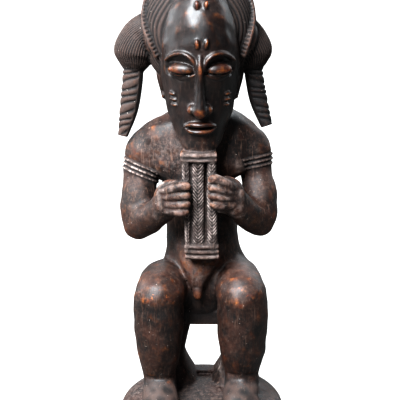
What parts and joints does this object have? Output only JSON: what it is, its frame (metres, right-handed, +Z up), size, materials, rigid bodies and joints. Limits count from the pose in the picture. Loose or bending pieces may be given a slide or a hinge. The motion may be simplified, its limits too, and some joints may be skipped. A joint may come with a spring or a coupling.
{
  "type": "seated figure",
  "caption": "Seated bearded figure holding its plaited beard, on a stool with a round base, carved from a single block of dark wood; stands free as a display piece.",
  "frame": {"origin": "middle of the base's flat underside", "axes": "+Z up along the figure's height; the figure looks along -Y; +X to the viewer's right"},
  "size_m": [0.164, 0.164, 0.4545],
  "materials": {
    "dark_wood": "dark brown-black patina, satin, rubbed to red-brown wood on the high spots"
  },
  "bodies": {
    "root": {"seated_figure": "dark_wood"}
  },
  "joints": []
}
